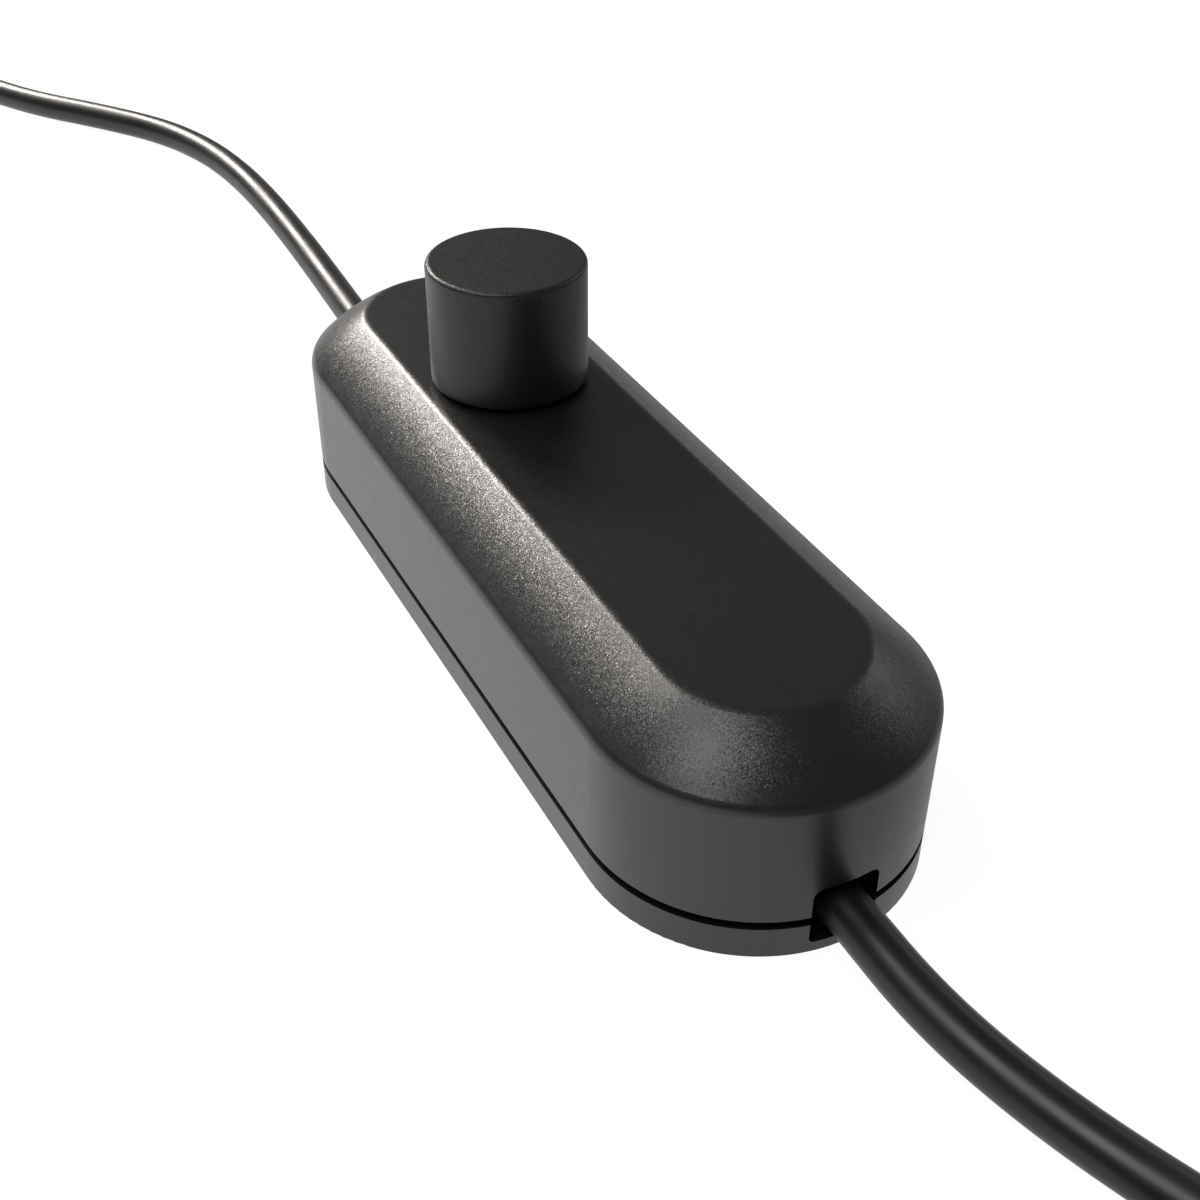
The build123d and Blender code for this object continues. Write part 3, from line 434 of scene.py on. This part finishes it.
class DIMMER_OT_flex(bpy.types.Operator):
    """Lays both lengths of flex, with their put-away coils"""

    bl_idname = "dimmer.flex"
    bl_label = "Flex"

    def execute(self, context):
        flex = context.scene.dimmer_flex
        sheath = smooth_plastic("flex_sheath", context.scene.dimmer_finish.flex_colour, 0.37)
        sides = (
            ("input", -1, INPUT_ROUTE, INPUT_COIL, 270, INPUT_TAIL, flex.input_length),
            ("output", 1, OUTPUT_ROUTE, OUTPUT_COIL, 90, OUTPUT_TAIL, flex.output_length),
        )
        for side, end, route, coil, first_angle, tail, length in sides:
            points = [Vector(place) for place in route]
            points += wound(coil, first_angle, flex.diameter)
            points += [Vector(place) for place in tail]
            piece = flex_curve(f"{side}_flex", points, flex.diameter)
            piece.data.materials.append(sheath)
            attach(piece, "housing")
            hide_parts(f"{side}_cord", f"{side}_cord_coil", f"{side}_cord_tail")
        return {"FINISHED"}


class DIMMER_OT_housing(bpy.types.Operator):
    """Gives the two housing shells their grained plastic"""

    bl_idname = "dimmer.housing"
    bl_label = "Housing"

    def execute(self, context):
        finish = context.scene.dimmer_finish
        plastic = grained_plastic("housing_plastic", finish.housing_colour, finish.grain_size,
                                  finish.grain_tilt, roughness=0.33, index=1.57,
                                  grain_from=HOUSING_GRAIN_FROM, worn_from=HOUSING_WORN_FROM)
        dress(("upper_shell", "base_tray"), plastic)
        return {"FINISHED"}


class DIMMER_OT_knob(bpy.types.Operator):
    """Gives the knob its grained plastic"""

    bl_idname = "dimmer.knob"
    bl_label = "Knob"

    def execute(self, context):
        finish = context.scene.dimmer_finish
        plastic = grained_plastic("knob_plastic", finish.knob_colour, finish.grain_size,
                                  finish.grain_tilt, roughness=0.4, index=1.46, grain_from=KNOB_GRAIN_FROM)
        dress(("knob",), plastic)
        return {"FINISHED"}


class DIMMER_OT_inner_parts(bpy.types.Operator):
    """Gives the pieces inside the housing their metals and plastics"""

    bl_idname = "dimmer.inner_parts"
    bl_label = "Inner parts"

    def execute(self, context):
        steel = metal("plated_steel", (0.62, 0.62, 0.61), 0.28)
        brass = metal("brass", (0.72, 0.55, 0.27), 0.25)
        copper = metal("copper_wire", (0.75, 0.4, 0.22), 0.3)
        aluminium = metal("aluminium_plate", (0.78, 0.79, 0.8), 0.35)
        laminate = grained_plastic("board_laminate", (0.42, 0.27, 0.12), grain_size=0.0004, tilt=0.08,
                                   roughness=0.5, index=1.5)
        black = grained_plastic("black_moulding", (0.02, 0.02, 0.02), grain_size=0.0002, tilt=0.2,
                                roughness=0.5, index=1.5)
        dress(("case_screws", "clamp_screws", "terminal_screws", "triac_screw", "triac_nut", "bush_nut",
               "bush_washer", "fuse_clips", "fuse_caps", "fuse_wire", "pot_pins", "pot_cup", "switch_can",
               "triac_leads", "component_leads", "wiper_contact", "input_end_ferrules",
               "output_end_ferrules"), steel)
        dress(("terminal_cages", "pot_bush", "pot_spindle"), brass)
        dress(("core_conductors", "choke_winding"), copper)
        dress(("heat_sink",), aluminium)
        dress(("circuit_board", "pot_wafer"), laminate)
        dress(("triac_body", "choke_core", "trigger_diode", "wiper_carrier", "resistance_track"), black)
        dress(("input_terminal_block", "output_terminal_block"),
              smooth_plastic("terminal_plastic", (0.06, 0.2, 0.08), 0.35))
        dress(("input_clamp_bar", "output_clamp_bar"),
              smooth_plastic("clamp_plastic", (0.55, 0.55, 0.52), 0.4))
        dress(("suppression_capacitor",), smooth_plastic("capacitor_case", (0.7, 0.55, 0.08), 0.35))
        dress(("timing_capacitor", "resistors"), smooth_plastic("component_film", (0.4, 0.12, 0.07), 0.4))
        dress(("fuse_glass",), clear_glass("fuse_glass"))
        return {"FINISHED"}


class DIMMER_OT_stripped_ends(bpy.types.Operator):
    """Gives the cores of the flex and the coil ties their colours"""

    bl_idname = "dimmer.stripped_ends"
    bl_label = "Stripped ends and ties"

    def execute(self, context):
        strap = grained_plastic("tie_nylon", (0.015, 0.015, 0.015), grain_size=0.0005, tilt=0.35,
                                roughness=0.7, index=1.45)
        dress(("input_live_core", "output_live_core"), smooth_plastic("live_insulation", LIVE_BROWN, 0.35))
        dress(("input_neutral_core", "output_neutral_core"),
              smooth_plastic("neutral_insulation", NEUTRAL_BLUE, 0.35))
        for side, tail in (("input", INPUT_TAIL), ("output", OUTPUT_TAIL)):
            dress((f"{side}_end_cores",),
                  core_insulation(f"{side}_core_insulation", LIVE_BROWN, NEUTRAL_BLUE, border=tail[-1][1]))
        dress(("input_coil_tie", "output_coil_tie"), strap)
        return {"FINISHED"}


class DIMMER_OT_stage(bpy.types.Operator):
    """Adds the pale floor, the lamps and the world"""

    bl_idname = "dimmer.stage"
    bl_label = "Stage"

    def execute(self, context):
        stage = context.scene.dimmer_stage
        self.add_floor(context)
        self.add_world(context)
        for name, place, size, power, colour in LAMPS:
            lamp = bpy.data.lights.new(name, "AREA")
            lamp.shape = "RECTANGLE"
            lamp.size, lamp.size_y = size
            lamp.energy = power * stage.lamp_strength
            lamp.color = colour
            holder = bpy.data.objects.new(name, lamp)
            holder.location = place
            holder.rotation_euler = (-Vector(place)).to_track_quat("-Z", "Y").to_euler()
            context.collection.objects.link(holder)
        return {"FINISHED"}

    def add_floor(self, context):
        """A wide floor that looks white but lights the object no more than pale paint does."""
        bpy.ops.mesh.primitive_circle_add(vertices=128, radius=FLOOR_RADIUS, fill_type="NGON",
                                          location=(0, 0, 0))
        floor = context.object
        floor.name = "floor"
        material, tree, output = new_material("floor_paint")
        rays = tree.nodes.new("ShaderNodeLightPath").outputs
        seen = calculated(tree, "MAXIMUM", rays["Is Camera Ray"], rays["Is Glossy Ray"])
        through = calculated(tree, "MAXIMUM", seen, rays["Is Transmission Ray"])
        paint = tree.nodes.new("ShaderNodeBsdfDiffuse")
        paint.inputs["Color"].default_value = FLOOR_PAINT
        shade = tree.nodes.new("ShaderNodeBsdfDiffuse")
        shade.inputs["Color"].default_value = FLOOR_SHADE
        glow = tree.nodes.new("ShaderNodeEmission")
        tree.links.new(self.floor_brightness(tree, rays), glow.inputs["Strength"])
        shown = tree.nodes.new("ShaderNodeAddShader")
        tree.links.new(shade.outputs[0], shown.inputs[0])
        tree.links.new(glow.outputs[0], shown.inputs[1])
        choice = tree.nodes.new("ShaderNodeMixShader")
        tree.links.new(through, choice.inputs["Fac"])
        tree.links.new(paint.outputs[0], choice.inputs[1])
        tree.links.new(shown.outputs[0], choice.inputs[2])
        tree.links.new(choice.outputs[0], output.inputs["Surface"])
        floor.data.materials.append(material)

    def floor_brightness(self, tree, rays):
        """White to the camera; in reflections, painted shade makes it dimmer on the far side of the housing,
        away from the lamps.
        """
        place = tree.nodes.new("ShaderNodeTexCoord").outputs["Object"]
        # Painted shade: the glow that reflections see falls towards +Y, away from the lamps
        reflected_with_painted_shade = value_ramp(tree, along(tree, place, "Y"), *REFLECTION_PLACES, *REFLECTION_BRIGHTNESS)
        direct = calculated(tree, "MULTIPLY", rays["Is Camera Ray"], FLOOR_TO_CAMERA)
        return calculated(tree, "MAXIMUM", direct, reflected_with_painted_shade)

    def add_world(self, context):
        """A plain grey world."""
        world = bpy.data.worlds.new("studio")
        world.use_nodes = True
        backdrop = world.node_tree.nodes["Background"]
        backdrop.inputs["Color"].default_value = (1, 1, 1, 1)
        backdrop.inputs["Strength"].default_value = WORLD_STRENGTH
        context.scene.world = world


class DIMMER_PT_panel(bpy.types.Panel):
    """Lists the steps that build the dimmer"""

    bl_label = "Dimmer"
    bl_idname = "DIMMER_PT_panel"
    bl_space_type = "VIEW_3D"
    bl_region_type = "UI"
    bl_category = "Dimmer"

    def draw(self, context):
        layout = self.layout
        for group in ("dimmer_finish", "dimmer_flex", "dimmer_stage"):
            settings = getattr(context.scene, group)
            box = layout.box()
            for name in settings.__annotations__:
                box.prop(settings, name)
        for operator in OPERATORS:
            layout.operator(operator.bl_idname)


GROUPS = (DimmerFinish, DimmerFlex, DimmerStage)
OPERATORS = (
    DIMMER_OT_camera, DIMMER_OT_flex, DIMMER_OT_housing, DIMMER_OT_knob, DIMMER_OT_inner_parts,
    DIMMER_OT_stripped_ends, DIMMER_OT_stage,
)


def register():
    """Registers the settings, the operators and the panel."""
    for item in (*GROUPS, *OPERATORS, DIMMER_PT_panel):
        bpy.utils.register_class(item)
    bpy.types.Scene.dimmer_finish = PointerProperty(type=DimmerFinish)
    bpy.types.Scene.dimmer_flex = PointerProperty(type=DimmerFlex)
    bpy.types.Scene.dimmer_stage = PointerProperty(type=DimmerStage)


def unregister():
    """Removes what register added."""
    del bpy.types.Scene.dimmer_stage
    del bpy.types.Scene.dimmer_flex
    del bpy.types.Scene.dimmer_finish
    for item in (DIMMER_PT_panel, *reversed(OPERATORS), *reversed(GROUPS)):
        bpy.utils.unregister_class(item)


def main():
    """Builds everything in order."""
    register()
    bpy.context.scene.view_settings.view_transform = "Standard"
    bpy.ops.dimmer.camera()
    bpy.ops.dimmer.flex()
    bpy.ops.dimmer.housing()
    bpy.ops.dimmer.knob()
    bpy.ops.dimmer.inner_parts()
    bpy.ops.dimmer.stripped_ends()
    bpy.ops.dimmer.stage()


if __name__ == "__main__":
    main()
